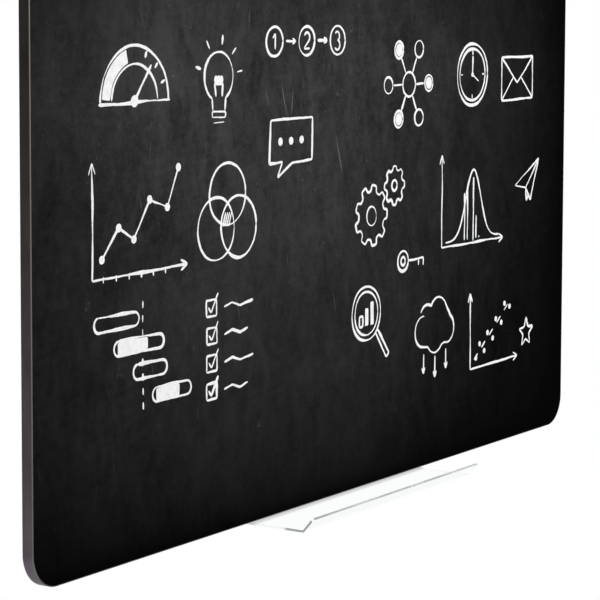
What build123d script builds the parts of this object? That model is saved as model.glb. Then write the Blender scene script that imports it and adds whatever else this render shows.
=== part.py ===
from build123d import *
from math import cos, radians, sin
import os

# Frameless chalkboard that hooks onto a rail on the wall, with a clear tray under its bottom edge.
# Millimetres, +Z up. The origin is on the wall plane, in the middle of the wall rail's row of slots.
# +X runs to the right as the reader sees it and +Y runs into the wall, so the board faces -Y.

# Panel: a laminate face on a fibreboard core, with a balancing sheet behind it
board_width = 900.0
board_height = 600.0
corner_radius = 30.0
face_thickness = 0.8
core_thickness = 9.0
backing_thickness = 0.8

# Edge band, run once round the panel, with its ends butted at the middle of the bottom edge
band_thickness = 1.0
band_bevel = 0.7
band_rear_bevel = 0.6
band_joint = 0.3
glue_line = 0.05

# Hanging rails: two extrusions, one on the wall and one on the board, whose lips hook together
rail_length = 400.0
rail_wall = 2.2
rail_corner = 0.4
rail_groove = 0.4
rail_play = 0.3
lip_height = 9.0
lip_lead_in = 0.9
lip_headroom = 1.0
wall_flange = 24.0
board_flange = 22.0
wall_gap = 8.0
height_above_slots = 90.0

# Slots for the wall screws, centred in the wall rail's flange
slot_spacing = 100.0
slot_width = 5.0
slot_length = 15.0
slot_count = 4

# Pan-head screws driven into the core from behind
screw_radius = 1.75
screw_cover = 2.0
head_radius = 3.5
head_height = 2.5
head_top_radius = 2.6
recess_width = 0.9
recess_span = 3.6
recess_depth = 1.4
pilot_clearance = 0.02
pilot_run_out = 0.4
hole_clearance = 0.3
rail_screw_spacing = 150.0
rail_screw_count = 3
rail_screw_height = 12.0

# Rubber bumpers that keep the lower edge off the wall
bumper_radius = 10.0
bumper_rim = 1.0
bumper_inset = 60.0
bumper_floor = 3.5
bumper_recess_radius = 4.6

# Chalk tray: one clear sheet, line-bent behind the board, under it and up again in front
tray_length = 296.0
tray_sheet = 2.0
tray_bend_radius = 1.2
tray_reach = 53.0
tray_lip = 15.5
tray_lip_angle = 50.0
tray_upstand = 30.0
tray_corner = 3.0
tray_seat_clearance = 0.1
tray_screw_spacing = 110.0
tray_screw_count = 3
tray_screw_height = 19.0
washer_radius = 4.5
washer_thickness = 0.8

# Where the pieces meet
panel_thickness = face_thickness + core_thickness + backing_thickness
board_back = -wall_gap
board_front = board_back - panel_thickness
board_bottom = height_above_slots - board_height
board_middle = height_above_slots - board_height / 2
core_front = board_front + face_thickness
core_back = board_back - backing_thickness
screw_bite = backing_thickness + core_thickness - screw_cover

# Rails, seen from the end: the board's lip stands on the wall rail's step, behind the wall lip
step_top = wall_flange / 2
wall_lip_front = board_back + rail_play
wall_lip_back = wall_lip_front + rail_wall
board_lip_front = wall_lip_back + rail_play
board_lip_back = board_lip_front + rail_wall
hook_bottom = step_top + lip_height + lip_headroom
rail_screw_z = hook_bottom + rail_screw_height
board_rail_face = board_back + rail_wall

# Tray: the sheet's upper face lies far enough down for the bend to clear the band's bevelled arris
shelf_top = board_bottom - (tray_bend_radius - band_rear_bevel + tray_seat_clearance)
shelf_middle = shelf_top - tray_sheet / 2
upstand_middle = board_back + tray_sheet / 2
tray_screw_z = board_bottom + tray_screw_height
bumper_z = board_bottom + bumper_inset
bumper_x = board_width / 2 - bumper_inset


def slab(outline, rear, thickness):
    """An outline drawn in X and Z, made solid from the plane y = rear towards the reader."""
    return extrude(Plane.XZ.offset(-rear) * outline, thickness)


def extrusion(section, length):
    """A section drawn in Y and Z, drawn out along X to both sides of the middle."""
    return extrude(Plane.YZ * section, length / 2, both=True)


def bore(x, z, radius, rear, depth):
    """A round hole's volume, running towards the reader from the plane y = rear."""
    return slab(Pos(x, z) * Circle(radius), rear, depth)


def row(count, spacing):
    """The X places of so many evenly spaced pieces, centred on the middle of the board."""
    return [(i - (count - 1) / 2) * spacing for i in range(count)]


def screw_places():
    """X and Z of every screw that is driven into the panel."""
    places = [(x, rail_screw_z) for x in row(rail_screw_count, rail_screw_spacing)]
    places += [(x, tray_screw_z) for x in row(tray_screw_count, tray_screw_spacing)]
    places += [(-bumper_x, bumper_z), (bumper_x, bumper_z)]
    return places


def panel_outline(inset):
    """The board's rounded outline, a step inside its outer edge."""
    sheet = RectangleRounded(board_width - 2 * inset, board_height - 2 * inset, corner_radius - inset)
    return Pos(0, board_middle) * sheet


def writing_surface():
    """The laminate that is written on, trimmed to the inside of the band."""
    return slab(panel_outline(band_thickness + glue_line), core_front, face_thickness)


def core_board():
    """The fibreboard that stiffens the panel and takes the screws."""
    core = slab(panel_outline(band_thickness + glue_line), core_back, core_thickness)
    depth = screw_bite - backing_thickness + pilot_run_out
    for x, z in screw_places():
        core -= bore(x, z, screw_radius + pilot_clearance, core_back, depth)
    return core


def backing_sheet():
    """The balancing sheet on the rear, drilled through for the screws."""
    sheet = slab(panel_outline(band_thickness + glue_line), board_back, backing_thickness)
    for x, z in screw_places():
        sheet -= bore(x, z, screw_radius + pilot_clearance, board_back, backing_thickness)
    return sheet


def edge_band():
    """The plastic band: a bevel all round at both arrises, and a hair gap where its ends meet."""
    ring = slab(panel_outline(0) - panel_outline(band_thickness), board_back, panel_thickness)
    outer_front = ring.faces().sort_by(Axis.Y)[0].outer_wire().edges()
    ring = chamfer(outer_front, band_bevel)
    outer_rear = ring.faces().sort_by(Axis.Y)[-1].outer_wire().edges()
    ring = chamfer(outer_rear, band_rear_bevel)
    joint = Pos(0, board_bottom) * Rectangle(band_joint, 3 * band_thickness)
    return ring - slab(joint, board_back, panel_thickness)


def rail_section(points, lead_in):
    """A rail's closed section with small rounded arrises and one bevelled lip corner."""
    section = make_face(Polyline(*points, close=True))
    tip = section.vertices().sort_by_distance(lead_in)[0]
    section = chamfer(tip, lip_lead_in)
    return fillet(section.vertices(), rail_corner)


def drill_groove(z, face):
    """The shallow vee that guides the drill, run along the flange's outer face at y = face."""
    vee = Polyline((face, z - rail_groove), (face + rail_groove, z), (face, z + rail_groove), close=True)
    return extrusion(make_face(vee), rail_length)


def wall_rail():
    """The lower rail: a flange on the wall, a step away from it, and a lip that points up."""
    lip_top = step_top + lip_height
    points = [
        (0, -wall_flange / 2),
        (0, step_top),
        (wall_lip_back, step_top),
        (wall_lip_back, lip_top),
        (wall_lip_front, lip_top),
        (wall_lip_front, step_top - rail_wall),
        (-rail_wall, step_top - rail_wall),
        (-rail_wall, -wall_flange / 2),
    ]
    rail = extrusion(rail_section(points, (wall_lip_back, lip_top)), rail_length)
    rail -= drill_groove(0, -rail_wall)
    for x in row(slot_count, slot_spacing):
        rail -= slab(Pos(x, 0) * SlotOverall(slot_length, slot_width), 0, rail_wall)
    return rail


def board_rail():
    """The upper rail: a flange on the board's back, and a lip that hooks down behind the wall lip."""
    points = [
        (board_back, hook_bottom),
        (board_lip_front, hook_bottom),
        (board_lip_front, step_top),
        (board_lip_back, step_top),
        (board_lip_back, hook_bottom + rail_wall),
        (board_rail_face, hook_bottom + rail_wall),
        (board_rail_face, hook_bottom + board_flange),
        (board_back, hook_bottom + board_flange),
    ]
    rail = extrusion(rail_section(points, (board_lip_front, step_top)), rail_length)
    rail -= mirror(drill_groove(rail_screw_z, -board_rail_face), Plane.XZ)
    for x in row(rail_screw_count, rail_screw_spacing):
        rail -= bore(x, rail_screw_z, screw_radius + hole_clearance, board_rail_face, rail_wall)
    return rail


def pan_head_screw(x, z, seat, length):
    """One screw, its head's underside on the plane y = seat and its shank running into the board."""
    base = (Align.CENTER, Align.CENTER, Align.MIN)
    under = (Align.CENTER, Align.CENTER, Align.MAX)
    head = Cone(head_radius, head_top_radius, head_height, align=base)
    screw = head + Cylinder(screw_radius, length, align=under)
    for turn in (0, 90):
        arm = Box(recess_span, recess_width, recess_depth, align=under)
        screw -= Pos(0, 0, head_height) * Rot(0, 0, turn) * arm
    return Pos(x, seat, z) * Rot(-90, 0, 0) * screw


def board_rail_screws():
    """The screws that hold the upper rail on the board."""
    length = rail_wall + screw_bite
    places = row(rail_screw_count, rail_screw_spacing)
    return [pan_head_screw(x, rail_screw_z, board_rail_face, length) for x in places]


def bumper(x):
    """A round rubber foot as deep as the gap behind the board, with a sunk seat for its screw."""
    base = (Align.CENTER, Align.CENTER, Align.MIN)
    foot = Cylinder(bumper_radius, wall_gap, align=base)
    foot = chamfer(foot.edges().group_by(Axis.Z)[-1], bumper_rim)
    foot -= Pos(0, 0, bumper_floor) * Cylinder(bumper_recess_radius, wall_gap - bumper_floor, align=base)
    foot -= Cylinder(screw_radius + hole_clearance, bumper_floor, align=base)
    return Pos(x, board_back, bumper_z) * Rot(-90, 0, 0) * foot


def bumper_screws():
    """The screws sunk in the bumpers."""
    length = bumper_floor + screw_bite
    seat = board_back + bumper_floor
    return [pan_head_screw(x, bumper_z, seat, length) for x in (-bumper_x, bumper_x)]


def tray():
    """The bent sheet: an upstand on the board's back, a shelf under the board and a raised lip."""
    fold_y = board_front - tray_reach
    rise = tray_lip * sin(radians(tray_lip_angle))
    run = tray_lip * cos(radians(tray_lip_angle))
    middle = FilletPolyline(
        (upstand_middle, board_bottom + tray_upstand),
        (upstand_middle, shelf_middle),
        (fold_y, shelf_middle),
        (fold_y - run, shelf_middle + rise),
        radius=tray_bend_radius + tray_sheet / 2,
    )
    sheet = extrusion(trace(middle, tray_sheet), tray_length)
    cut_edges = [sheet.faces().sort_by(Axis.Z)[-1], sheet.faces().sort_by(Axis.Y)[0]]
    corners = [corner for cut in cut_edges for corner in cut.edges().sort_by(SortBy.LENGTH)[:2]]
    sheet = fillet(corners, tray_corner)
    for x in row(tray_screw_count, tray_screw_spacing):
        sheet -= bore(x, tray_screw_z, screw_radius + hole_clearance, board_back + tray_sheet, tray_sheet)
    return sheet


def tray_washers():
    """Nylon washers between the screw heads and the clear sheet."""
    ring = Circle(washer_radius) - Circle(screw_radius + hole_clearance)
    seat = board_back + tray_sheet + washer_thickness
    places = row(tray_screw_count, tray_screw_spacing)
    return [slab(Pos(x, tray_screw_z) * ring, seat, washer_thickness) for x in places]


def tray_screws():
    """The screws that clamp the tray's upstand to the back of the board."""
    seat = board_back + tray_sheet + washer_thickness
    length = washer_thickness + tray_sheet + screw_bite
    places = row(tray_screw_count, tray_screw_spacing)
    return [pan_head_screw(x, tray_screw_z, seat, length) for x in places]


nodes = {
    "writing_surface": [writing_surface()],
    "core_board": [core_board()],
    "backing_sheet": [backing_sheet()],
    "edge_band": [edge_band()],
    "board_rail": [board_rail()],
    "board_rail_screws": board_rail_screws(),
    "wall_rail": [wall_rail()],
    "bumper_left": [bumper(-bumper_x)],
    "bumper_right": [bumper(bumper_x)],
    "bumper_screws": bumper_screws(),
    "tray": [tray()],
    "tray_washers": tray_washers(),
    "tray_screws": tray_screws(),
}

os.makedirs("parts", exist_ok=True)
for name, pieces in nodes.items():
    solids = [solid for piece in pieces for solid in piece.solids()]
    shape = solids[0] if len(solids) == 1 else Compound(children=solids)
    export_step(shape, f"parts/{name}.step")
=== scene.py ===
from math import atan2, cos, exp, hypot, pi, radians, sin

import bmesh
import bpy
from mathutils import Matrix, Vector, noise


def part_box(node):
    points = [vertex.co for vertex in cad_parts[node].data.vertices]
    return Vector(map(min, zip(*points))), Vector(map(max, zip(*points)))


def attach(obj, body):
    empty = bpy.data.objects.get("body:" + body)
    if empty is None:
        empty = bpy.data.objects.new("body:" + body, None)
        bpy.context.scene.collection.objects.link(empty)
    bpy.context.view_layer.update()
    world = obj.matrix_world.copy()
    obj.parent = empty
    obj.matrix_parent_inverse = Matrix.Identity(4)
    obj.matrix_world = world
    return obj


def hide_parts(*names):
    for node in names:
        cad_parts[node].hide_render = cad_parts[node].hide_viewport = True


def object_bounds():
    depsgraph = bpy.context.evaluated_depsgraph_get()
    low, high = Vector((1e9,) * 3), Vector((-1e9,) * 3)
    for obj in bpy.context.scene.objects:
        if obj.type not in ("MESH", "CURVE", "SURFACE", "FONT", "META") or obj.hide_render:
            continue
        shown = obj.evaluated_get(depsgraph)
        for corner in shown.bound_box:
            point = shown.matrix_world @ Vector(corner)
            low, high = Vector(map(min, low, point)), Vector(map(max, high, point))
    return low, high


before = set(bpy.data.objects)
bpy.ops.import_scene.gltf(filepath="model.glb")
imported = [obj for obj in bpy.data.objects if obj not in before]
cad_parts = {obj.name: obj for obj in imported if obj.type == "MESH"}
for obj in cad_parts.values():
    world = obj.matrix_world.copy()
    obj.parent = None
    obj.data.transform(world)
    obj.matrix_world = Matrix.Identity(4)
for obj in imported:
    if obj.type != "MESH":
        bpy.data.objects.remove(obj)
cad_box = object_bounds()

# Wall rail: an aluminium hook strip, screwed to the wall through a level row of four slots.
# It is an extrusion, satin anodised, so its fine draw lines run along its length.


def srgb(red, green, blue):
    """A colour picked as screen values from 0 to 255, as the shader wants it."""
    linear = [
        c / 12.92 if c <= 0.04045 else ((c + 0.055) / 1.055) ** 2.4
        for c in (red / 255, green / 255, blue / 255)
    ]
    return (*linear, 1)


def finish(name, **plain):
    """A new material. plain gives its shader's constant sockets, with _ for each space."""
    material = bpy.data.materials.new(name)
    material.use_nodes = True
    for socket, value in plain.items():
        shader(material).inputs[socket.replace("_", " ")].default_value = value
    return material


def shader(material):
    """The material's surface shader."""
    return material.node_tree.nodes["Principled BSDF"]


def step(material, kind, inputs=(), **settings):
    """Adds a node. inputs pairs its sockets with plain values or with other nodes' outputs."""
    made = material.node_tree.nodes.new("ShaderNode" + kind)
    for setting, value in settings.items():
        setattr(made, setting, value)
    for socket, value in dict(inputs).items():
        if isinstance(value, bpy.types.NodeSocket):
            material.node_tree.links.new(value, made.inputs[socket])
        else:
            made.inputs[socket].default_value = value
    return made


def place(material):
    """The point being shaded, in the object's own metres."""
    return step(material, "TexCoord").outputs["Object"]


def grain(material, per_metre, detail=3, rough=0.5, turned=0.0, swirl=0.0, layer=0.0):
    """Soft noise from 0 to 1 with that many blobs to a metre along x, y and z.

    It can be turned about y and swirled. layer shifts it along y, for another pattern of its kind.
    """
    turning = {"Vector": place(material), "Rotation": (0, turned, 0), "Location": (0, layer, 0)}
    tilt = step(material, "Mapping", turning)
    spread = step(material, "Mapping", {"Vector": tilt.outputs[0], "Scale": per_metre})
    blobs = {"Vector": spread.outputs[0], "Scale": 1}
    blobs.update({"Detail": detail, "Roughness": rough, "Distortion": swirl})
    return step(material, "TexNoise", blobs).outputs[0]


def span(material, value, start, end, low=0.0, high=1.0, ease="LINEAR"):
    """low while value is at start, high once it is at end, and even or eased between."""
    limits = {0: value, 1: start, 2: end, 3: low, 4: high}
    return step(material, "MapRange", limits, interpolation_type=ease).outputs[0]


def blend(material, amount, first, second, how="MIX"):
    """The first colour, turned into the second by amount."""
    colours = {0: amount, 6: first, 7: second}
    return step(material, "Mix", colours, data_type="RGBA", blend_type=how).outputs[2]


def wire(material, socket, value):
    """Feeds a pattern to one of the shader's sockets."""
    material.node_tree.links.new(value, shader(material).inputs[socket])


def emboss(material, height, depth):
    """Raises the surface by the pattern, depth metres where it is 1."""
    bumped = step(material, "Bump", {"Height": height, "Distance": depth, "Strength": 1})
    wire(material, "Normal", bumped.outputs[0])


def dress(node, material):
    """Gives a CAD node its material."""
    for material_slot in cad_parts[node].material_slots:
        material_slot.material = material


anodised = finish("anodised_aluminium", Metallic=1, Roughness=0.38)
draw_lines = grain(anodised, (6, 1400, 1400), detail=2)
dull_line, bright_line = srgb(176, 178, 181), srgb(214, 215, 217)
wire(anodised, "Base Color", blend(anodised, draw_lines, dull_line, bright_line))
satin = span(anodised, grain(anodised, (40, 300, 300)), 0.3, 0.7, 0.3, 0.46)
wire(anodised, "Roughness", satin)
emboss(anodised, draw_lines, depth=0.00002)
dress("wall_rail", anodised)

# Core: a sheet of dense wood fibre board, cut to the board's outline with rounded corners.
# It is drilled from behind for the screws, and every other piece of the board is fixed to it.


def sums(material, how, first, second):
    """One number from two."""
    return step(material, "Math", {0: first, 1: second}, operation=how).outputs[0]


fibreboard = finish("fibreboard", Roughness=0.85, Specular_IOR_Level=0.25)
fibres = grain(fibreboard, (700, 1800, 700), detail=5)
layers = grain(fibreboard, (5, 900, 5), detail=2)
tan_fibres = blend(fibreboard, fibres, srgb(122, 96, 68), srgb(176, 148, 112))
pressed = sums(fibreboard, "MULTIPLY", layers, 0.4)
pressed_brown = srgb(96, 72, 50)
wire(fibreboard, "Base Color", blend(fibreboard, pressed, tan_fibres, pressed_brown))
emboss(fibreboard, fibres, depth=0.00012)
dress("core_board", fibreboard)

# Writing surface: a thin matt black laminate, pressed on the front of the core.
# Years of wiping leave a grey bloom of dust in clouds and long strokes.
# The face is made darker towards its edges, least of all at the left.

corner_radius = 0.030
corner_steps = 32
plate_inset = 0.00105

left_fade_width, left_edge_tone = 0.162, 0.436
right_fade_width, right_edge_tone = 0.407, 0.02
bottom_fade_height, bottom_fade_curve = 0.394, 0.74
top_fade_height, top_edge_tone = 0.206, 0.05


def block(name, low, high):
    """A cube primitive set to fill the box from low to high, with its place in its mesh."""
    low, high = Vector(low), Vector(high)
    bpy.ops.object.select_all(action="DESELECT")
    bpy.ops.mesh.primitive_cube_add(size=1, location=(low + high) / 2)
    bpy.ops.transform.resize(value=high - low)
    bpy.ops.object.transform_apply(location=True, rotation=True, scale=True)
    bpy.context.object.name = name
    return bpy.context.object


def edit(piece):
    """Opens one piece for editing, with nothing in it selected."""
    bpy.ops.object.select_all(action="DESELECT")
    piece.select_set(True)
    bpy.context.view_layer.objects.active = piece
    bpy.ops.object.mode_set(mode="EDIT")
    bpy.ops.mesh.select_all(action="DESELECT")


def done(angle=30):
    """Closes the edited piece and shades it smooth, apart from edges sharper than angle degrees."""
    bpy.ops.object.mode_set(mode="OBJECT")
    bpy.ops.object.shade_smooth_by_angle(angle=radians(angle))


def even_out(piece):
    """Weighs the piece's normals by face area, so that broad faces shade flat up to a bend."""
    evened = piece.modifiers.new("even", "WEIGHTED_NORMAL")
    evened.keep_sharp = True
    bpy.context.view_layer.objects.active = piece
    bpy.ops.object.modifier_apply(modifier=evened.name)


def pick(kind, test):
    """Selects the faces or edges of the edited piece that pass test, and nothing else."""
    bpy.ops.mesh.select_mode(type=kind)
    bpy.ops.mesh.select_all(action="DESELECT")
    mesh = bmesh.from_edit_mesh(bpy.context.object.data)
    for part in mesh.faces if kind == "FACE" else mesh.edges:
        part.select_set(test(part))
    mesh.select_flush_mode()
    bmesh.update_edit_mesh(bpy.context.object.data)


def along(edge, axis):
    """True where an edge runs along that axis."""
    run = edge.verts[1].co - edge.verts[0].co
    return abs(run[axis]) > 0.99 * run.length


def plate(name, node, material):
    """A sheet with the board's rounded corners, in the place of a CAD node."""
    sheet = block(name, *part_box(node))
    edit(sheet)
    pick("EDGE", lambda edge: along(edge, 1))
    bpy.ops.mesh.bevel(offset=corner_radius - plate_inset, segments=corner_steps, affect="EDGES")
    done()
    even_out(sheet)
    sheet.data.materials.append(material)
    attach(sheet, "board")
    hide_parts(node)


board_low, board_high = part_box("edge_band")

laminate = finish("writing_laminate", Roughness=0.92, Specular_IOR_Level=0.012)
bare_black, full_dust = srgb(7, 7, 7), srgb(67, 67, 67)
tooth_grey, mark_grey = srgb(86, 86, 87), srgb(132, 132, 132)

blots = span(laminate, grain(laminate, (4.2, 1, 3.6), detail=4, rough=0.6, swirl=0.5, layer=3.4),
             0.36, 0.68)
smears = span(laminate, grain(laminate, (26, 1, 14), detail=5, rough=0.62, turned=0.2, swirl=1.0),
              0.36, 0.70)
wisps = span(laminate, grain(laminate, (58, 1, 40), detail=4, rough=0.7, swirl=0.8), 0.38, 0.66)
mottle = span(laminate, grain(laminate, (120, 1, 170), detail=4, rough=0.8), 0.38, 0.66)
up_strokes = span(laminate, grain(laminate, (120, 1, 14), detail=3, rough=0.6, swirl=0.4),
                  0.48, 0.75)
cross_strokes = span(laminate, grain(laminate, (14, 1, 130), detail=3, rough=0.6, turned=0.12),
                     0.45, 0.75)
where_wiped = span(laminate, grain(laminate, (9, 9, 7), detail=2), 0.42, 0.62)
stroke_weight = 0.28
strokes = sums(laminate, "ADD", sums(laminate, "MULTIPLY", up_strokes, stroke_weight),
               sums(laminate, "MULTIPLY", cross_strokes, stroke_weight))
dust = sums(laminate, "MULTIPLY", strokes, where_wiped)
for pattern, weight in ((blots, 0.45), (smears, 0.36), (wisps, 0.28), (mottle, 0.24)):
    dust = sums(laminate, "ADD", dust, sums(laminate, "MULTIPLY", pattern, weight))

# Each broad cloud has its middle, its radius and its weight.
dusty_cloud = (-0.21, board_low.y, -0.08), 0.18, 0.20
wiped_cloud = (0.12, board_low.y, -0.09), 0.14, -0.15
for cloud_middle, cloud_radius, weight in (dusty_cloud, wiped_cloud):
    apart = {0: place(laminate), 1: cloud_middle}
    away = step(laminate, "VectorMath", apart, operation="DISTANCE").outputs["Value"]
    cloud = span(laminate, away, cloud_radius, 0, 0, weight, "SMOOTHSTEP")
    smeared = span(laminate, smears, 0, 1, 0.6, 1.4)
    dust = sums(laminate, "ADD", dust, sums(laminate, "MULTIPLY", cloud, smeared))
bloom = blend(laminate, dust, bare_black, full_dust)
tooth = grain(laminate, (600, 600, 600), detail=2, rough=0.8)
bloom = blend(laminate, span(laminate, tooth, 0.38, 0.70, 0, 0.20), bloom, tooth_grey)

smudges = span(laminate, grain(laminate, (48, 1, 60), detail=3, rough=0.7), 0.67, 0.78, 0, 0.5)
specks = span(laminate, grain(laminate, (330, 330, 330), detail=1), 0.76, 0.84, 0, 0.8)
scratches = span(laminate, grain(laminate, (320, 1, 14), detail=2, rough=0.4, turned=0.30),
                 0.725, 0.79, 0, 0.7)
counter_scratches = span(laminate, grain(laminate, (300, 1, 17), detail=2, rough=0.4, turned=-0.12),
                         0.75, 0.81, 0, 0.6)
marks = sums(laminate, "MAXIMUM", sums(laminate, "MAXIMUM", specks, smudges),
             sums(laminate, "MAXIMUM", scratches, counter_scratches))
bloom = blend(laminate, marks, bloom, mark_grey)

on_face = step(laminate, "SeparateXYZ", {0: place(laminate)}).outputs
left_fade = span(laminate, on_face["X"], board_low.x, board_low.x + left_fade_width,
                 left_edge_tone, 1)
right_fade = span(laminate, on_face["X"], board_high.x, board_high.x - right_fade_width,
                  right_edge_tone, 1)
risen = span(laminate, on_face["Z"], board_low.z, board_low.z + bottom_fade_height)
bottom_fade = sums(laminate, "POWER", risen, bottom_fade_curve)
top_fade = span(laminate, on_face["Z"], board_high.z, board_high.z - top_fade_height,
                top_edge_tone, 1)
fades = sums(laminate, "MULTIPLY", sums(laminate, "MULTIPLY", left_fade, right_fade),
             sums(laminate, "MULTIPLY", bottom_fade, top_fade))
faded_grey = step(laminate, "CombineColor", {0: fades, 1: fades, 2: fades}).outputs[0]
wire(laminate, "Base Color", blend(laminate, 1.0, bloom, faded_grey, "MULTIPLY"))
emboss(laminate, tooth, depth=0.00003)
plate("writing_plate", "writing_surface", laminate)

# Backing: a plain dark laminate pressed on the back, so that the core stays flat.
# It is smooth but for a light orange-peel, with a few rub marks from stacking.

balancer = finish("backing_laminate", Roughness=0.6, Specular_IOR_Level=0.3)
rubs = span(balancer, grain(balancer, (3, 1, 30), detail=5, rough=0.7), 0.5, 0.8)
unworn_grey, rubbed_grey = srgb(44, 43, 43), srgb(74, 73, 72)
wire(balancer, "Base Color", blend(balancer, rubs, unworn_grey, rubbed_grey))
wire(balancer, "Roughness", span(balancer, rubs, 0, 1, 0.55, 0.75))
orange_peel = grain(balancer, (500, 500, 500), detail=1)
emboss(balancer, orange_peel, depth=0.00004)
plate("backing_plate", "backing_sheet", balancer)

# Edge band: one strip of black plastic, ironed on round the board and met at a joint below.
# Its arrises are scraped at a slant after gluing, which leaves the cut plastic paler.

band_thickness = 0.001
band_bevel = 0.0007
band_rear_bevel = 0.0006
band_bevel_steps = 3
band_joint = 0.0003
tolerance = 0.00001

# Heights above the board's lower edge at which each tone of the band is full:
# the painted light from below, the painted brown shade above it, and the paler cut.
lit_full_height = 0.25
brown_shade_height = 0.3
paled_height = 0.45
# The paler cut starts and is full this far from the board's upper and lower edges.
scrape_start, scrape_full = 0.001, 0.018


def level(part, axis, value):
    """True where a face or edge lies in the plane at value on that axis."""
    return all(abs(corner.co[axis] - value) < tolerance for corner in part.verts)


def cut(piece, tool):
    """Takes the tool's solid out of the piece."""
    bpy.ops.object.select_all(action="DESELECT")
    bpy.context.view_layer.objects.active = piece
    taken = piece.modifiers.new("cut", "BOOLEAN")
    taken.operation, taken.solver, taken.object = "DIFFERENCE", "EXACT", tool
    bpy.ops.object.modifier_apply(modifier=taken.name)
    bpy.data.objects.remove(tool)


def outer_arris(y):
    """A test for the outer edges of the band at depth y."""
    middle = (board_low + board_high) / 2

    def outward(face):
        away = face.calc_center_median() - middle
        away.y = 0
        return abs(face.normal.y) < 0.5 and face.normal.dot(away) > 0

    return lambda edge: level(edge, 1, y) and any(outward(face) for face in edge.link_faces)


band = block("edge_strip", board_low, board_high)
edit(band)
pick("EDGE", lambda edge: along(edge, 1))
bpy.ops.mesh.bevel(offset=corner_radius, segments=corner_steps, affect="EDGES")
pick("FACE", lambda face: level(face, 1, board_low.y) or level(face, 1, board_high.y))
bpy.ops.mesh.inset(thickness=band_thickness, use_individual=True)
bpy.ops.mesh.bridge_edge_loops()
pick("EDGE", outer_arris(board_low.y))
bpy.ops.mesh.bevel(offset=band_bevel, segments=band_bevel_steps, affect="EDGES")
pick("EDGE", outer_arris(board_high.y))
bpy.ops.mesh.bevel(offset=band_rear_bevel, segments=band_bevel_steps, affect="EDGES")
done()
joint_low = (-band_joint / 2, board_low.y - band_thickness, board_low.z - band_thickness)
joint_high = (band_joint / 2, board_high.y + band_thickness, board_low.z + 2 * band_thickness)
cut(band, block("joint", joint_low, joint_high))
even_out(band)

edge_plastic = finish("edge_plastic", Roughness=0.5, Specular_IOR_Level=0.05)
cast = span(edge_plastic, grain(edge_plastic, (60, 60, 25), detail=4), 0.3, 0.7)
on_rim = step(edge_plastic, "SeparateXYZ", {0: place(edge_plastic)}).outputs
band_own_black = blend(edge_plastic, cast, srgb(33, 29, 25), srgb(48, 43, 36))
# The band is painted paler towards the bottom, standing in for light from below.
lit_black = blend(edge_plastic, cast, srgb(58, 54, 56), srgb(73, 70, 70))
lit_from_below = span(edge_plastic, on_rim["Z"], board_high.z, board_low.z + lit_full_height)
lit_and_shaded_black = blend(edge_plastic, lit_from_below, band_own_black, lit_black)
# It is also painted darker and browner towards the top and front, as painted shade.
brown_shade = sums(edge_plastic, "MULTIPLY",
               span(edge_plastic, on_rim["Y"], board_high.y, board_low.y),
               span(edge_plastic, on_rim["Z"], board_low.z, board_low.z + brown_shade_height, 0.3, 1))
brown_shade_tint = srgb(255, 246, 222)
lit_and_shaded_black = blend(edge_plastic, brown_shade, lit_and_shaded_black, brown_shade_tint, "MULTIPLY")

slanted = span(edge_plastic, on_rim["Y"], board_low.y + band_bevel, board_low.y + band_bevel * 0.7)
off_middle = sums(edge_plastic, "SUBTRACT", on_rim["Z"], (board_low.z + board_high.z) / 2)
off_middle = sums(edge_plastic, "ABSOLUTE", off_middle, 0)
half_height = (board_high.z - board_low.z) / 2
on_upright = span(edge_plastic, off_middle, half_height - scrape_start, half_height - scrape_full)
scraped = sums(edge_plastic, "MULTIPLY", slanted, on_upright)
up_the_side = span(edge_plastic, on_rim["Z"], board_low.z, board_low.z + paled_height)
scraped_grey = blend(edge_plastic, up_the_side, srgb(93, 91, 90), srgb(136, 130, 122))
wire(edge_plastic, "Base Color", blend(edge_plastic, scraped, lit_and_shaded_black, scraped_grey))
wire(edge_plastic, "Roughness", span(edge_plastic, scraped, 0, 1, 0.4, 0.6))
emboss(edge_plastic, grain(edge_plastic, (300, 1500, 300)), depth=0.00002)
band.data.materials.append(edge_plastic)
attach(band, "board")
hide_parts("edge_band")

# Board rail: the same aluminium strip turned over, so that its lip drops behind the wall rail's.
# Three pan-head screws hold it to the back of the board, zinc plated and turned home by hand.

screw_radius = 0.00175
thread_root = 0.00135
thread_pitch = 0.0013
head_radius = 0.0035
head_height = 0.0025
head_taper, head_rounding, head_rim = 0.9, 0.45, 0.0002
recess_width = 0.0009
recess_span = 0.0036
recess_depth = 0.0014
recess_taper = (0.6, 0.7, 1)
screw_tip = 0.0025
point_scale = 0.15
# The thread's ridge: half its foot as a share of the pitch, and how deep its foot is sunk.
ridge_share, ridge_sink = 0.3, 0.9
thread_steps = 24
first_turn, turn_step = 0.4, 0.7

dress("board_rail", anodised)

zinc = finish("zinc_plate", Metallic=1, Roughness=0.32)
crystals = grain(zinc, (900, 900, 900), detail=3)
dull_zinc, bright_zinc = srgb(150, 153, 158), srgb(205, 207, 210)
wire(zinc, "Base Color", blend(zinc, crystals, dull_zinc, bright_zinc))
wire(zinc, "Roughness", span(zinc, grain(zinc, (250, 250, 250)), 0.3, 0.7, 0.24, 0.42))
emboss(zinc, crystals, depth=0.00001)


def round_bar(name, radius, bottom, top, sides=48):
    """A cylinder primitive on the z axis, with its place in its mesh."""
    bpy.ops.object.select_all(action="DESELECT")
    bpy.ops.mesh.primitive_cylinder_add(
        vertices=sides, radius=radius, depth=top - bottom, location=(0, 0, (bottom + top) / 2))
    bpy.ops.object.transform_apply(location=True, rotation=True, scale=True)
    bpy.context.object.name = name
    return bpy.context.object


def scale_all(factor):
    """Scales what is selected about the z axis, in x and y."""
    bpy.ops.transform.resize(value=(factor, factor, 1), center_override=(0, 0, 0))


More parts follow.
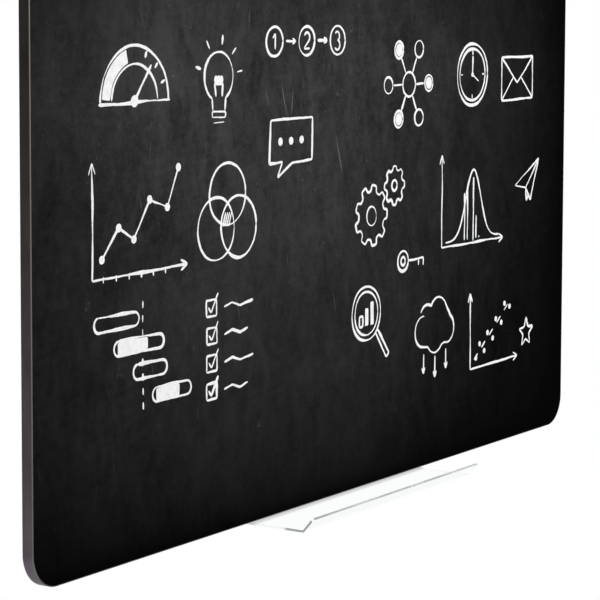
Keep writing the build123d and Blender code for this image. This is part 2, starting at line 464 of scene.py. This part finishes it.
def thread(length):
    """The raised helix of a screw, from under its head to its tip."""
    bpy.ops.object.select_all(action="DESELECT")
    bpy.ops.mesh.primitive_circle_add(vertices=3, radius=1, fill_type="NOTHING")
    ridge = bpy.context.object
    half = thread_pitch * ridge_share
    crest = -half * 1.5
    foot = thread_root * ridge_sink
    section = (screw_radius, 0, crest), (foot, 0, crest - half), (foot, 0, crest + half)
    for corner, at in zip(ridge.data.vertices, section):
        corner.co = at
    turns = ridge.modifiers.new("turns", "SCREW")
    turns.iterations = int((length - screw_tip) / thread_pitch)
    turns.steps = turns.render_steps = thread_steps
    turns.screw_offset = -thread_pitch
    turns.use_merge_vertices = False
    bpy.ops.object.modifier_apply(modifier=turns.name)
    edit(ridge)
    bpy.ops.mesh.select_all(action="SELECT")
    bpy.ops.mesh.region_to_loop()
    bpy.ops.mesh.fill()
    bpy.ops.mesh.select_all(action="SELECT")
    bpy.ops.mesh.normals_make_consistent(inside=False)
    done()
    return ridge


def pan_head_screw(name, length):
    """A screw on the z axis: head above, with a cross recess, and a threaded shank below."""
    screw = round_bar(name, head_radius, 0, head_height)
    edit(screw)
    pick("FACE", lambda face: level(face, 2, head_height))
    scale_all(head_taper)
    pick("EDGE", lambda edge: level(edge, 2, head_height))
    bpy.ops.mesh.bevel(offset=head_height * head_rounding, segments=7, affect="EDGES")
    pick("EDGE", lambda edge: level(edge, 2, 0))
    bpy.ops.mesh.bevel(offset=head_rim, segments=2, affect="EDGES")
    pick("FACE", lambda face: level(face, 2, 0))
    bpy.ops.mesh.inset(thickness=head_radius - head_rim - thread_root)
    bpy.ops.mesh.extrude_region_move(TRANSFORM_OT_translate={"value": (0, 0, screw_tip - length)})
    bpy.ops.mesh.extrude_region_move(TRANSFORM_OT_translate={"value": (0, 0, -screw_tip)})
    scale_all(point_scale)
    done()
    for turned in (0, 90):
        arm = block("recess", (-recess_span / 2, -recess_width / 2, head_height - recess_depth),
                    (recess_span / 2, recess_width / 2, head_height * 2))
        edit(arm)
        pick("FACE", lambda face: level(face, 2, head_height - recess_depth))
        bpy.ops.transform.resize(value=recess_taper)
        bpy.ops.object.mode_set(mode="OBJECT")
        arm.data.transform(Matrix.Rotation(radians(turned), 4, "Z"))
        cut(screw, arm)
    ridge = thread(length)
    ridge.select_set(True)
    screw.select_set(True)
    bpy.context.view_layer.objects.active = screw
    bpy.ops.object.join()
    return screw


def screws(node, count):
    """A row of the same screw in the place of a CAD node, each turned to its own angle."""
    low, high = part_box(node)
    seat = high.y - head_height
    run = (high.x - low.x - 2 * head_radius) / (count - 1)
    name = node.replace("screws", "screw")
    copies = [pan_head_screw(name, seat - low.y)]
    for _ in range(1, count):
        copies.append(copies[0].copy())
        copies[-1].data = copies[0].data.copy()
        bpy.context.collection.objects.link(copies[-1])
    for number, screw in enumerate(copies):
        hole = Matrix.Translation((low.x + head_radius + run * number, seat, (low.z + high.z) / 2))
        turned = Matrix.Rotation(turn_step * number + first_turn, 4, "Z")
        screw.data.transform(hole @ Matrix.Rotation(-pi / 2, 4, "X") @ turned)
        screw.data.materials.append(zinc)
        screw.name = name + "_" + str(number + 1)
        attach(screw, "board")
        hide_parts(node)


screws("board_rail_screws", 3)

# Bumpers: two round rubber feet low on the back, as deep as the rails, that keep the board plumb.
# Each is moulded with a sunk seat, and its screw sits below the face that rests on the wall.

bumper_recess = 0.0046
bumper_floor = 0.0035
bumper_rim = 0.001
hole_clearance = 0.0003

rubber = finish("bumper_rubber", Roughness=0.8, Specular_IOR_Level=0.3)
powder = grain(rubber, (260, 260, 260), detail=4)
wire(rubber, "Base Color", blend(rubber, powder, srgb(30, 30, 31), srgb(54, 54, 54)))
emboss(rubber, grain(rubber, (1200, 1200, 1200), detail=2), depth=0.00005)


def ring_of(edge, radius):
    """True where both ends of an edge are that far from the z axis."""
    return all(abs(corner.co.xy.length - radius) < tolerance for corner in edge.verts)


def bumper(node):
    """A rubber foot in the place of a CAD node."""
    low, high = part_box(node)
    radius, height = (high.x - low.x) / 2, high.y - low.y
    foot = round_bar(node.replace("bumper", "foot"), radius, 0, height, sides=64)
    edit(foot)
    pick("FACE", lambda face: level(face, 2, height))
    bpy.ops.mesh.inset(thickness=radius - bumper_recess)
    sunk = {"value": (0, 0, bumper_floor - height)}
    bpy.ops.mesh.extrude_region_move(TRANSFORM_OT_translate=sunk)
    pick("EDGE", lambda edge: level(edge, 2, height) and ring_of(edge, radius))
    bpy.ops.mesh.bevel(offset=bumper_rim, segments=6, affect="EDGES")
    pick("EDGE", lambda edge: level(edge, 2, height) and ring_of(edge, bumper_recess))
    bpy.ops.mesh.bevel(offset=bumper_rim / 3, segments=4, affect="EDGES")
    done()
    cut(foot, round_bar("screw_hole", screw_radius + hole_clearance, -height, height, sides=32))
    on_back = Matrix.Translation(((low.x + high.x) / 2, low.y, (low.z + high.z) / 2))
    foot.data.transform(on_back @ Matrix.Rotation(-pi / 2, 4, "X"))
    foot.data.materials.append(rubber)
    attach(foot, "board")
    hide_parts(node)


bumper("bumper_left")
bumper("bumper_right")
screws("bumper_screws", 2)

# Tray: one strip of clear acrylic, heated along two lines and bent, so it has no joint.
# Its ends are polished, but for the left one near the lip, and its long edges are left as sawn.
# Three screws with nylon washers clamp it on, and it is painted grey along the board as the board's
# shade.

sheet_thickness = 0.002
bend_radius = 0.0012
lip_angle = radians(50)
lip_fold = 0.0716
lip_length = 0.0155
sheet_corner = 0.003
tray_hole = 0.00205
polished_arris = 0.00012
bend_steps = 14
sheet_corner_steps = 8

cut_depth = 0.0002
polished_haze = 0.12
# The left end is unpolished from the lip to this far behind the lip's fold.
unpolished_start, unpolished_full = 0.021, 0.017
middle_fade = 0.01
darker_cut_length = 0.06
# The painted shade's width in front of the board, and the width over which it ends under it.
board_shade_width, board_shade_end = 0.005, 0.004

tray_low, tray_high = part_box("tray")
middle_radius = bend_radius + sheet_thickness / 2
bend_z = tray_low.z + sheet_thickness + bend_radius
back_bend_y = tray_high.y - sheet_thickness - bend_radius
lip_allowance = middle_radius * sin(lip_angle / 2) / cos(lip_angle / 2)
front_bend_y = lip_allowance - lip_fold

tray = block("clear_tray", (tray_low.x, tray_high.y - sheet_thickness, bend_z), tray_high)
edit(tray)
pick("FACE", lambda face: level(face, 2, bend_z))
back_bend, front_bend = (0, back_bend_y, bend_z), (0, front_bend_y, bend_z)
bpy.ops.mesh.spin(steps=bend_steps, angle=pi / 2, center=back_bend, axis=(1, 0, 0))
forward = {"value": (0, front_bend_y - back_bend_y, 0)}
bpy.ops.mesh.extrude_region_move(TRANSFORM_OT_translate=forward)
bpy.ops.mesh.spin(steps=bend_steps, angle=lip_angle, center=front_bend, axis=(1, 0, 0))
lip_run = lip_length - lip_allowance
up_the_lip = {"value": (0, -lip_run * cos(lip_angle), lip_run * sin(lip_angle))}
bpy.ops.mesh.extrude_region_move(TRANSFORM_OT_translate=up_the_lip)


def sawn_corner(edge):
    """True for the short edges at the sheet's corners, two on the upstand and two on the lip."""
    halfway = (edge.verts[0].co + edge.verts[1].co) / 2
    at_end = level(edge, 0, tray_low.x) or level(edge, 0, tray_high.x)
    through = abs(edge.calc_length() - sheet_thickness) < tolerance
    on_lip = through and halfway.y < front_bend_y - lip_run / 2
    return at_end and (on_lip or level(edge, 2, tray_high.z))


pick("EDGE", sawn_corner)
bpy.ops.mesh.bevel(offset=sheet_corner, segments=sheet_corner_steps, affect="EDGES")
pick("EDGE", lambda edge: edge.calc_face_angle() > radians(60))
bpy.ops.mesh.bevel(offset=polished_arris, segments=2, affect="EDGES")
done()
screw_low, screw_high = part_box("tray_screws")
hole_x = (screw_high.x - screw_low.x) / 2 - head_radius
for x in (-hole_x, 0, hole_x):
    drill = round_bar("drill", tray_hole, -sheet_thickness, 2 * sheet_thickness)
    middle_z = (screw_low.z + screw_high.z) / 2
    hole = Matrix.Translation((x, tray_high.y - sheet_thickness, middle_z))
    drill.data.transform(hole @ Matrix.Rotation(-pi / 2, 4, "X"))
    cut(tray, drill)
even_out(tray)

clear_acrylic = finish("clear_acrylic", IOR=1.003)
on_sheet = step(clear_acrylic, "SeparateXYZ", {0: place(clear_acrylic)}).outputs
from_middle = sums(clear_acrylic, "ABSOLUTE", on_sheet["X"], 0)
both_ends = span(clear_acrylic, from_middle, tray_high.x - cut_depth, tray_high.x - cut_depth / 2)
unpolished = sums(clear_acrylic, "MULTIPLY",
                  span(clear_acrylic, on_sheet["X"], middle_fade, -middle_fade),
                  span(clear_acrylic, on_sheet["Y"], unpolished_start - lip_fold,
                       unpolished_full - lip_fold))
haze = span(clear_acrylic, unpolished, 0, 1, polished_haze, 1)
end_cut = sums(clear_acrylic, "MULTIPLY", both_ends, haze)

lip_lean = {0: place(clear_acrylic), 1: (0, -cos(lip_angle), sin(lip_angle))}
along_lip = step(clear_acrylic, "VectorMath", lip_lean, operation="DOT_PRODUCT").outputs["Value"]
lip_end = lip_run - front_bend_y * cos(lip_angle) + bend_z * sin(lip_angle)
lip_cut = span(clear_acrylic, along_lip, lip_end - cut_depth, lip_end - cut_depth / 2)
top_cut = span(clear_acrylic, on_sheet["Z"], tray_high.z - cut_depth, tray_high.z - cut_depth / 2)
long_cut = sums(clear_acrylic, "MAXIMUM", lip_cut, top_cut)
sawn = sums(clear_acrylic, "MAXIMUM", end_cut, long_cut)

scored = span(clear_acrylic, grain(clear_acrylic, (24, 24, 24), detail=3), 0.40, 0.60)
far_frost = blend(clear_acrylic, scored, srgb(166, 170, 170), srgb(200, 204, 204))
towards_left = span(clear_acrylic, on_sheet["X"], tray_low.x, tray_low.x + darker_cut_length)
frost = blend(clear_acrylic, towards_left, srgb(136, 140, 140), far_frost)
# The sheet is painted grey along the board's face, standing in for the board's shade on it.
shade_to_board = span(clear_acrylic, on_sheet["Y"], board_low.y - board_shade_width, board_low.y)
shade_under_board = span(clear_acrylic, on_sheet["Y"], board_high.y, board_high.y - board_shade_end)
board_shade = sums(clear_acrylic, "MULTIPLY", sums(clear_acrylic, "MULTIPLY", shade_to_board, shade_to_board),
            shade_under_board)
clear_body_and_shade = blend(clear_acrylic, board_shade, srgb(251, 252, 252), srgb(200, 201, 201))
wire(clear_acrylic, "Base Color", blend(clear_acrylic, sawn, clear_body_and_shade, frost))
wire(clear_acrylic, "Transmission Weight", span(clear_acrylic, sawn, 0, 1, 1, 0.5))
wire(clear_acrylic, "Roughness", span(clear_acrylic, sawn, 0, 1, 0.01, 0.5))
emboss(clear_acrylic, grain(clear_acrylic, (30, 30, 30), detail=1), depth=0.00001)
tray.data.materials.append(clear_acrylic)
# A clear sheet would shade the board behind it as if it were solid, so it casts no shadow.
tray.visible_shadow = False
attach(tray, "board")
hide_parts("tray")

nylon = finish("washer_nylon", Roughness=0.45, Subsurface_Weight=0.1)
moulded = grain(nylon, (300, 300, 300))
wire(nylon, "Base Color", blend(nylon, moulded, srgb(226, 224, 216), srgb(240, 239, 233)))
emboss(nylon, grain(nylon, (1500, 1500, 1500)), depth=0.00001)
dress("tray_washers", nylon)
screws("tray_screws", 3)

# Chalk drawings: office sketches drawn by hand with a white stick, in two loose groups.
# A stroke is a thin ridge of chalk dust on the laminate, uneven in width and pitted by its
# grain. The drawings are laid out in millimetres, and scaled once they are meshes.

chalk_width = 2.25
chalk_relief = 0.09
chalk_step = 1.3
soft_passes = 2
hand_seed = 11
slice_apart = 31
slow_wobble, slow_wobble_reach = 0.9, 34
quick_wobble, quick_wobble_reach = 0.22, 6
slow_swell, slow_swell_reach = 0.8, 26
quick_swell, quick_swell_reach = 0.16, 2.5
tip_width, tip_growth = 0.5, 0.25
arc_step = 9
barb_turn = 0.45
mm = 0.001

chalk = finish("chalk_dust", Roughness=1, Specular_IOR_Level=0)
crumbs = grain(chalk, (1500, 1500, 1500), detail=3, rough=0.7)
thin_places = span(chalk, crumbs, 0.28, 0.42)
thick_places = span(chalk, grain(chalk, (160, 160, 160), detail=3), 0.35, 0.55)
full_white = blend(chalk, thick_places, srgb(243, 243, 243), srgb(254, 254, 254))
wire(chalk, "Base Color", blend(chalk, thin_places, srgb(204, 204, 203), full_white))
emboss(chalk, crumbs, depth=0.00015)

# noise_vector starts from the clock unless it is given a seed.
noise.seed_set(hand_seed)


def wobble(point, size, reach):
    """How far the hand strays from point: up to size, changing over reach.

    Each size reads its own slice of the noise.
    """
    on_slice = Vector((point[0], point[1], size * slice_apart))
    return noise.noise_vector(on_slice / reach) * size


def by_hand(path, corner):
    """The points of a stroke along path: evenly spaced, with soft corners and a light wobble.

    path is in the drawing's own plane, and corner is where the drawing stands on the board.
    """
    points = [path[0]]
    for start, end in zip(path, path[1:]):
        run, rise = end[0] - start[0], end[1] - start[1]
        pieces = max(1, round(hypot(run, rise) / chalk_step))
        for piece in range(1, pieces + 1):
            part = piece / pieces
            points.append((start[0] + run * part, start[1] + rise * part))
    points = [Vector((corner[0] + x, corner[1] + y, 0)) for x, y in points]
    for _ in range(soft_passes):
        inner = [(before + here * 2 + after) / 4
                 for before, here, after in zip(points, points[1:], points[2:])]
        points = [points[0]] + inner + [points[-1]]
    strayed = [point + wobble(point, slow_wobble, slow_wobble_reach)
               + wobble(point, quick_wobble, quick_wobble_reach) for point in points]
    return [Vector((point.x, point.y, 0)) for point in strayed]


def chalk_curve(name, paths, corner, filled):
    """The strokes along paths, or the patches filled inside them, as a mesh on the z = 0 plane."""
    curve = bpy.data.curves.new(name, "CURVE")
    curve.dimensions = "2D" if filled else "3D"
    curve.fill_mode = "BOTH" if filled else "FULL"
    if filled:
        curve.extrude = chalk_relief
    else:
        curve.bevel_depth, curve.bevel_resolution, curve.use_fill_caps = 1, 1, True
    for path in paths:
        points = by_hand(path, corner)
        line = curve.splines.new("POLY")
        line.use_cyclic_u = filled
        line.points.add(len(points) - 1)
        for number, (knot, point) in enumerate(zip(line.points, points)):
            swell = noise.noise(point / slow_swell_reach) * slow_swell
            swell += noise.noise(point / quick_swell_reach) * quick_swell
            from_tip = min(number, len(points) - 1 - number)
            tip = 1 if from_tip > 1 else tip_width + tip_growth * from_tip
            knot.co = (*point, 1)
            knot.radius = chalk_width / 2 * (1 + swell) * tip
    piece = bpy.data.objects.new(name, curve)
    bpy.context.collection.objects.link(piece)
    bpy.ops.object.select_all(action="DESELECT")
    piece.select_set(True)
    bpy.context.view_layer.objects.active = piece
    bpy.ops.object.convert(target="MESH")
    edit(piece)
    bpy.ops.mesh.select_all(action="SELECT")
    bpy.ops.mesh.remove_doubles(threshold=chalk_relief / 100)
    bpy.ops.mesh.normals_make_consistent(inside=False)
    bpy.ops.object.mode_set(mode="OBJECT")
    if not filled:
        piece.data.transform(Matrix.Scale(chalk_relief, 4, (0, 0, 1)))
    return piece


def draw(name, corner, lines, patches=()):
    """Draws one sketch with its lower left corner at corner, in millimetres from the board's."""
    sketch = chalk_curve("chalk_" + name, lines, corner, filled=False)
    if patches:
        chalk_curve("patch", patches, corner, filled=True)
        sketch.select_set(True)
        bpy.context.view_layer.objects.active = sketch
        bpy.ops.object.join()
    on_board = Matrix.Translation((board_low.x, board_low.y, board_low.z))
    sketch.data.transform(on_board @ Matrix.Rotation(pi / 2, 4, "X") @ Matrix.Scale(mm, 4))
    bpy.context.view_layer.objects.active = sketch
    bpy.ops.object.shade_smooth_by_angle(angle=radians(40))
    sketch.data.materials.append(chalk)
    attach(sketch, "board")


def arc(x, y, radius, start=0, end=360, tall=1.0):
    """Points round a centre, from start to end in degrees, anticlockwise from the right."""
    turns = max(6, int(abs(end - start) / arc_step))
    angles = [radians(start + (end - start) * turn / turns) for turn in range(turns + 1)]
    return [(x + radius * cos(angle), y + radius * tall * sin(angle)) for angle in angles]


def frame_of(x, y, width, height):
    """A rectangle by its lower left corner."""
    return [(x, y), (x + width, y), (x + width, y + height), (x, y + height), (x, y)]


def arrow(x, y, to_x, to_y, head=10):
    """A straight shaft and its open head."""
    heading = atan2(to_y - y, to_x - x)
    barbs = [(to_x - head * cos(heading + turn), to_y - head * sin(heading + turn))
             for turn in (barb_turn, -barb_turn)]
    return [[(x, y), (to_x, to_y)], [barbs[0], (to_x, to_y), barbs[1]]]


def hatch(x, y, width, height, count, lean=4):
    """Short slanting strokes side by side."""
    return [[(x + width * n / count, y), (x + width * n / count + lean, y + height)]
            for n in range(count)]


readings = [(12, 16), (34, 40), (54, 29), (76, 60), (100, 52), (116, 84)]
draw("line_graph", (76, 236),
     arrow(0, 0, 0, 94) + arrow(0, 0, 128, 2) + [readings] + hatch(14, -3, 100, 5, 6, lean=0),
     [arc(x, y, 3.6) for x, y in readings])

draw("gauge", (84, 372),
     [arc(48, 4, 46, 0, 180), arc(48, 4, 31, 4, 176), [(0, 3), (96, 5)], [(48, 5), (70, 34)]]
     + [[(48 + 38 * cos(turn), 4 + 38 * sin(turn)), (48 + 44 * cos(turn), 4 + 44 * sin(turn))]
        for turn in (0.4, 0.8, 1.2)],
     [arc(48, 4, 44, 105, 176) + arc(48, 4, 33, 176, 105), arc(48, 5, 5)])

coil = [(22 + 12 * n / 30 + 2.6 * sin(pi / 5 * n), 41 - 3.4 * cos(pi / 5 * n)) for n in range(31)]
draw("light_bulb", (222, 350),
     [arc(28, 44, 21, -62, 242), [(18, 26), (19, 15)], [(38, 26), (37, 15)], frame_of(18, 9, 20, 5),
      [(20, 4), (36, 5)], [(24, 27)] + coil + [(33, 27)]]
     + [[(28 + 27 * cos(turn), 44 + 27 * sin(turn)), (28 + 35 * cos(turn), 44 + 35 * sin(turn))]
        for turn in (0.1, 0.75, 1.4, 2.1, 2.9)])

draw("three_circles", (218, 236),
     [arc(28, 28, 27), arc(62, 28, 27), arc(45, 57, 27)] + hatch(38, 29, 12, 12, 4))

tasks = [(0, 66, 58, False), (26, 44, 66, True), (52, 22, 44, False), (78, 0, 52, True)]
draw("task_bars", (78, 128),
     [arc(x + 5, y + 6, 6, 90, 270) + arc(x + length - 5, y + 6, 6, -90, 90) + [(x + 5, y + 12)]
      for x, y, length, solid in tasks]
     + [[(64, 86 - 12 * n), (64, 80 - 12 * n)] for n in range(8)],
     [frame_of(x + 4, y + 1, length * 0.62, 10) for x, y, length, solid in tasks if solid])

draw("check_list", (232, 118),
     [line for n in range(4) for line in (
         frame_of(0, 24 * n, 15, 14),
         [(3, 24 * n + 8), (7, 24 * n + 3), (17, 24 * n + 19)],
         [(26, 24 * n + 6), (38, 24 * n + 9), (50, 24 * n + 5), (62 + 8 * (n % 2), 24 * n + 8)])])

draw("numbered_steps", (322, 408),
     [arc(13, 14, 13), arc(65, 14, 13), arc(117, 14, 13)]
     + arrow(31, 14, 47, 14, 6) + arrow(83, 14, 99, 14, 6)
     + [[(10, 17), (14, 21), (14, 7)], arc(65, 17, 4.5, 160, -40) + [(60, 7), (70, 7)],
        arc(116, 18, 4, 150, -80) + arc(116, 10, 4.5, 80, -150)])

draw("speech_bubble", (326, 300),
     [[(22, 16), (14, 2), (38, 14), (70, 15), (71, 54), (3, 53), (1, 15), (22, 16)]],
     [arc(19 + 17 * n, 34, 3.6) for n in range(3)])

draw("idea_map", (128, 478),
     [arc(78, 42, 27, tall=0.55), arc(16, 70, 15, tall=0.6), arc(16, 14, 15, tall=0.6),
      arc(146, 72, 16, tall=0.6), arc(146, 14, 16, tall=0.6)]
     + arrow(56, 52, 31, 66, 7) + arrow(56, 33, 31, 19, 7) + arrow(100, 52, 130, 66, 7)
     + arrow(100, 33, 130, 19, 7) + hatch(66, 37, 24, 9, 6))

draw("table", (330, 486),
     [frame_of(0, 0, 96, 66)] + [[(0, 22 * n), (96, 22 * n)] for n in (1, 2)]
     + [[(32 * n, 0), (32 * n, 66)] for n in (1, 2)]
     + [[(10, 54), (14, 48), (24, 60)], [(42, 32), (46, 27), (56, 39)], [(74, 50), (86, 60)],
        [(74, 60), (86, 50)], [(10, 6), (22, 16)], [(10, 16), (22, 6)]],
     [frame_of(66, 2, 28, 17)])

corners = [(48 + 38 * cos(pi / 3 * n), 44 + 38 * sin(pi / 3 * n)) for n in range(6)]
draw("network", (520, 334),
     [arc(x, y, 8) for x, y in corners] + [arc(48, 44, 12)]
     + [[(48 + (x - 48) * 0.34, 44 + (y - 44) * 0.34), (48 + (x - 48) * 0.76, 44 + (y - 44) * 0.76)]
        for x, y in corners],
     [arc(x, y, 6) for x, y in corners[::2]])

draw("clock", (662, 352),
     [arc(32, 32, 31), arc(32, 32, 26), [(32, 32), (32, 51)], [(32, 32), (45, 25)]]
     + [[(32 + 20 * cos(pi / 2 * n), 32 + 20 * sin(pi / 2 * n)),
         (32 + 24 * cos(pi / 2 * n), 32 + 24 * sin(pi / 2 * n))] for n in range(4)],
     [arc(32, 32, 2.6)])

draw("envelope", (756, 356),
     [frame_of(0, 0, 68, 44), [(1, 43), (34, 17), (67, 43)],
      [(1, 1), (26, 23)], [(67, 1), (42, 23)]])

bell = [(8 + 1.12 * n, 4 + 70 * exp(-(((n - 50) / 19) ** 2))) for n in range(0, 101, 3)]
draw("bell_curve", (634, 214),
     arrow(0, 0, 0, 92) + arrow(0, 0, 128, 0) + [bell] + [[(64, 2), (64, 66)]]
     + [[(52 + 6 * n, 4), (52 + 6 * n, 54 - 3 * n * n)] for n in (-1, 0, 3, 4)])


def toothed(x, y, radius, teeth):
    """The outline of a gear wheel."""
    points = []
    for tooth in range(teeth):
        for part, reach in ((-0.32, 1), (-0.2, 1.26), (0.2, 1.26), (0.32, 1)):
            turn = 2 * pi * (tooth + part) / teeth
            points.append((x + radius * reach * cos(turn), y + radius * reach * sin(turn)))
    return points + points[:1]


draw("gear_wheels", (470, 226),
     [toothed(30, 30, 23, 9), arc(30, 30, 9), toothed(72, 56, 15, 8), arc(72, 56, 5)])

draw("magnifier", (462, 108),
     [arc(30, 56, 26), arc(30, 56, 21), [(46, 36), (66, 10), (71, 14), (50, 39)]]
     + [frame_of(17, 44, 6, 10)],
     [frame_of(27, 44, 6, 17), frame_of(37, 44, 6, 23)])

draw("cloud", (578, 92),
     [arc(20, 42, 15, 80, 275) + arc(44, 36, 17, 215, 320) + arc(68, 40, 14, 250, 420)
      + arc(50, 54, 19, 25, 130) + arc(28, 54, 14, 55, 150)]
     + arrow(22, 20, 22, 0, 7) + arrow(44, 16, 44, -6, 7) + arrow(66, 20, 66, 0, 7))

dots = [(12, 10), (20, 24), (30, 16), (37, 34), (48, 27), (54, 46), (66, 41), (73, 60), (84, 56)]
draw("scatter", (694, 84),
     arrow(0, 0, 0, 78) + arrow(0, 0, 102, 2)
     + [[(8 + 16 * n, 9 + 11 * n), (16 + 16 * n, 14.5 + 11 * n)] for n in range(5)],
     [arc(x, y, 2.8) for x, y in dots])

draw("paper_plane", (788, 246),
     [[(0, 20), (52, 46), (34, 2), (24, 16), (0, 20)],
      [(24, 16), (52, 46)], [(24, 16), (25, 2), (31, 9)]])

draw("star", (800, 92),
     [[(16 + reach * cos(pi / 2 + pi / 5 * n), 16 + reach * sin(pi / 2 + pi / 5 * n))
       for n, reach in enumerate((16, 7) * 5 + (16,))]])

draw("key", (548, 196),
     [arc(11, 11, 10), arc(11, 11, 4), [(21, 11), (50, 12), (50, 4)], [(41, 12), (41, 5)]])

draw("staircase", (584, 478),
     [[(0, 0), (24, 0), (24, 18), (48, 18), (48, 36), (72, 36), (72, 54), (98, 54)]]
     + arrow(6, 26, 50, 66, 10),
     [frame_of(75, 3, 20, 48)])

draw("small_flag", (748, 470),
     [[(0, 0), (2, 74)],
      [(2, 72), (20, 77), (34, 68), (50, 73), (50, 44), (34, 39), (20, 48), (2, 43)]],
     [[(4, 58), (20, 62), (34, 54), (48, 58), (48, 46), (34, 41), (20, 50), (4, 46)]])

# Floor: a plain pale sheet far below the board, which fades into the white round it.
# The room's light is even and soft, and the camera, mirrors and glass see pure white.

floor_drop = 2.1
floor_size = 8
floor_shade, shade_within, white_beyond = 0.35, 0.3, 2.2
room_fill = 0.16


def plain_view(material):
    """1 for the camera's rays and for those that mirrors and glass pass on, and otherwise 0."""
    rays = step(material, "LightPath").outputs
    passed_on = sums(material, "MAXIMUM", rays["Is Glossy Ray"], rays["Is Transmission Ray"])
    return sums(material, "MAXIMUM", rays["Is Camera Ray"], passed_on)


bpy.ops.object.select_all(action="DESELECT")
bpy.ops.mesh.primitive_plane_add(size=floor_size, location=(0, 0, -floor_drop))
floor = bpy.context.object
floor.name = "floor"
pale_grey = (0.9, 0.9, 0.9, 1)
floor_paint = finish("floor_paint", Base_Color=pale_grey, Roughness=1, Specular_IOR_Level=0)
floor.data.materials.append(floor_paint)
white = step(floor_paint, "Emission", {0: (1, 1, 1, 1), 1: 1})
outwards = step(floor_paint, "VectorMath", {0: place(floor_paint)}, operation="LENGTH")
seen = plain_view(floor_paint)
whiter = span(floor_paint, outwards.outputs["Value"], shade_within, white_beyond,
              floor_shade, 1, "SMOOTHSTEP")
fading = sums(floor_paint, "MULTIPLY", seen, whiter)
paint_to_white = {0: fading, 1: shader(floor_paint).outputs[0], 2: white.outputs[0]}
faded_floor = step(floor_paint, "MixShader", paint_to_white).outputs[0]
surface = floor_paint.node_tree.nodes["Material Output"].inputs[0]
floor_paint.node_tree.links.new(faded_floor, surface)

room = bpy.data.worlds.new("room")
room.use_nodes = True
bpy.context.scene.world = room
room_light = room.node_tree.nodes["Background"]
room_light.inputs[0].default_value = (1, 1, 1, 1)
room_strength = span(room, plain_view(room), 0, 1, room_fill, 1)
room.node_tree.links.new(room_strength, room_light.inputs[1])


def lamp(name, stand, aim, size, power, tint=(1, 1, 1)):
    """A soft square lamp at stand, turned to face aim."""
    light = bpy.data.lights.new(name, "AREA")
    light.size, light.energy, light.color = size, power, tint
    held = bpy.data.objects.new(name, light)
    bpy.context.collection.objects.link(held)
    held.location = stand
    held.visible_camera = False
    held.rotation_euler = (Vector(aim) - Vector(stand)).to_track_quat("-Z", "Y").to_euler()


part_middle = (cad_box[0] + cad_box[1]) / 2
lower_left = (-0.45, 0, -0.44)
lamp("front_lamp", (0.4, -2.6, 0.9), part_middle, size=1.6, power=72)
lamp("low_lamp", (-0.72, 0.10, -0.78), lower_left, size=0.25, power=3.7, tint=(0.88, 0.87, 1))
lamp("back_lamp", (0.9, 2.4, 0.8), part_middle, size=1.6, power=30)

# Camera: to the left of the board and a little above its middle, level with its upper part.
# It has a long lens and stands about two metres off, at the photograph's viewing angle.

camera_spot = Vector((-1.83019, -1.16376, -0.04898))
camera_yaw, camera_pitch, camera_roll = radians(56.9009), radians(-4.9434), radians(0.1801)
camera_lens, camera_sensor = 140.707, 36
camera_rise = -1 / 6

ahead = Vector((sin(camera_yaw) * cos(camera_pitch), cos(camera_yaw) * cos(camera_pitch),
                sin(camera_pitch)))
level_right = Vector((cos(camera_yaw), -sin(camera_yaw), 0))
level_up = level_right.cross(ahead)
right = level_right * cos(camera_roll) + level_up * sin(camera_roll)
up = level_up * cos(camera_roll) - level_right * sin(camera_roll)
lens = bpy.data.cameras.new("photo_camera")
lens.lens, lens.sensor_width = camera_lens, camera_sensor
lens.shift_y = camera_rise
camera = bpy.data.objects.new("photo_camera", lens)
bpy.context.collection.objects.link(camera)
turned = Matrix((right, up, -ahead)).transposed().to_4x4()
camera.matrix_world = Matrix.Translation(camera_spot) @ turned
bpy.context.scene.camera = camera

bpy.context.scene.view_settings.view_transform = "Standard"
